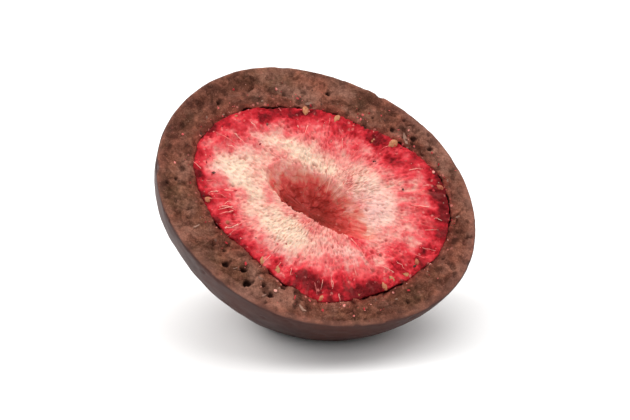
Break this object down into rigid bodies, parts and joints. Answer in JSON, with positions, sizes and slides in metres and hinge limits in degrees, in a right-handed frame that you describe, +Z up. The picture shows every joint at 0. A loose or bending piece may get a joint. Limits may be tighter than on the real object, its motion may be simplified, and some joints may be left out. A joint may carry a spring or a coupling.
{
  "type": "chocolate coated strawberry",
  "caption": "Half of a freeze-dried strawberry in a thick dark chocolate coating, cut lengthwise, resting tilted on its dome with the cut face up and forward.",
  "frame": {"origin": "on the floor below the middle of the half's bounding box", "axes": "+Z up; +X along the half's longest extent, towards the end where the broad stem end of the berry lies; -Y towards the side that the cut face looks to"},
  "size_m": [0.0306, 0.0234, 0.0228],
  "materials": {
    "chocolate": "satin dark chocolate, matte where it is cut",
    "dried_strawberry": "matte porous freeze-dried fruit, red at its skin and cream round its core"
  },
  "bodies": {
    "root": {"chocolate_coating": "chocolate", "strawberry": "dried_strawberry"}
  },
  "joints": []
}
